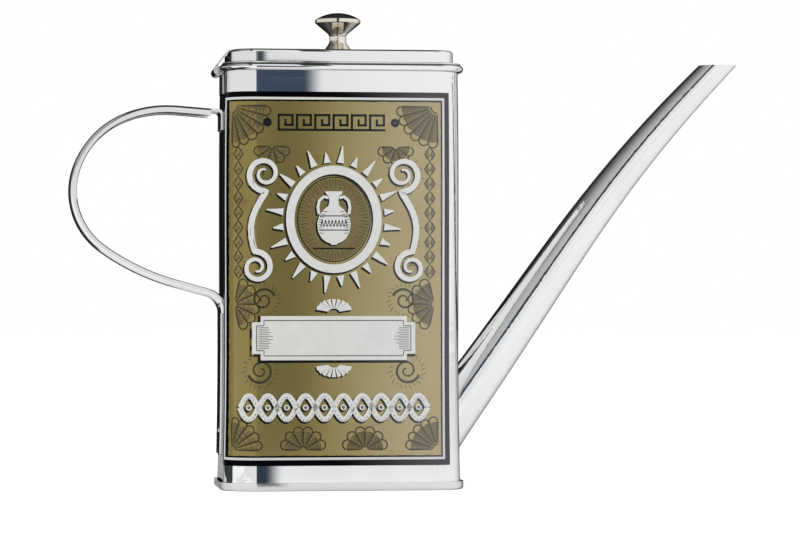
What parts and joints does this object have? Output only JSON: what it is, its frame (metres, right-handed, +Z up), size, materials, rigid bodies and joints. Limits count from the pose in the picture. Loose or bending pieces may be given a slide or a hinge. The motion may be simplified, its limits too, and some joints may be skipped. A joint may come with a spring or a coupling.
{
  "type": "olive oil tin with spout",
  "caption": "Rectangular sheet-steel oil can with rounded corners, a long tapered pouring spout, a channel handle, and a hinged lid with a turned knob.",
  "frame": {"origin": "centre of the base, on the surface that the tin stands on", "axes": "+Z up; +X from the handle towards the spout; -Y out of the front with the label"},
  "size_m": [0.2436, 0.0518, 0.171],
  "materials": {
    "body_steel": "mirror-polished stainless steel sheet",
    "spout_steel": "mirror-polished stainless steel tube",
    "handle_steel": "mirror-polished stainless steel strip, pressed into a channel",
    "hinge_steel": "polished stainless steel, soldered on",
    "pin_steel": "drawn steel wire",
    "lid_steel": "mirror-polished stainless steel sheet",
    "knob_nickel": "turned metal with a warm polished nickel finish",
    "screw_steel": "plain zinc-grey steel",
    "printed_film": "printed film in olive gold with a black and white border, slightly worn"
  },
  "bodies": {
    "tin": {"body_shell": "body_steel", "base_pan": "body_steel", "spout": "spout_steel", "handle_strap": "handle_steel", "hinge_body_leaf": "hinge_steel", "hinge_pin": "pin_steel", "label_film": "printed_film"},
    "lid": {"lid_cap": "lid_steel", "lid_skirt": "lid_steel", "hinge_lid_leaf": "hinge_steel", "knob": "knob_nickel", "knob_screw": "screw_steel", "knob_washer": "screw_steel"}
  },
  "joints": [
    {"name": "lid_hinge", "type": "hinge", "parent": "tin", "child": "lid", "pos_m": [-0.0436, 0, 0.1494], "axis": [0, -1, 0], "range_deg": [0, 105]}
  ]
}
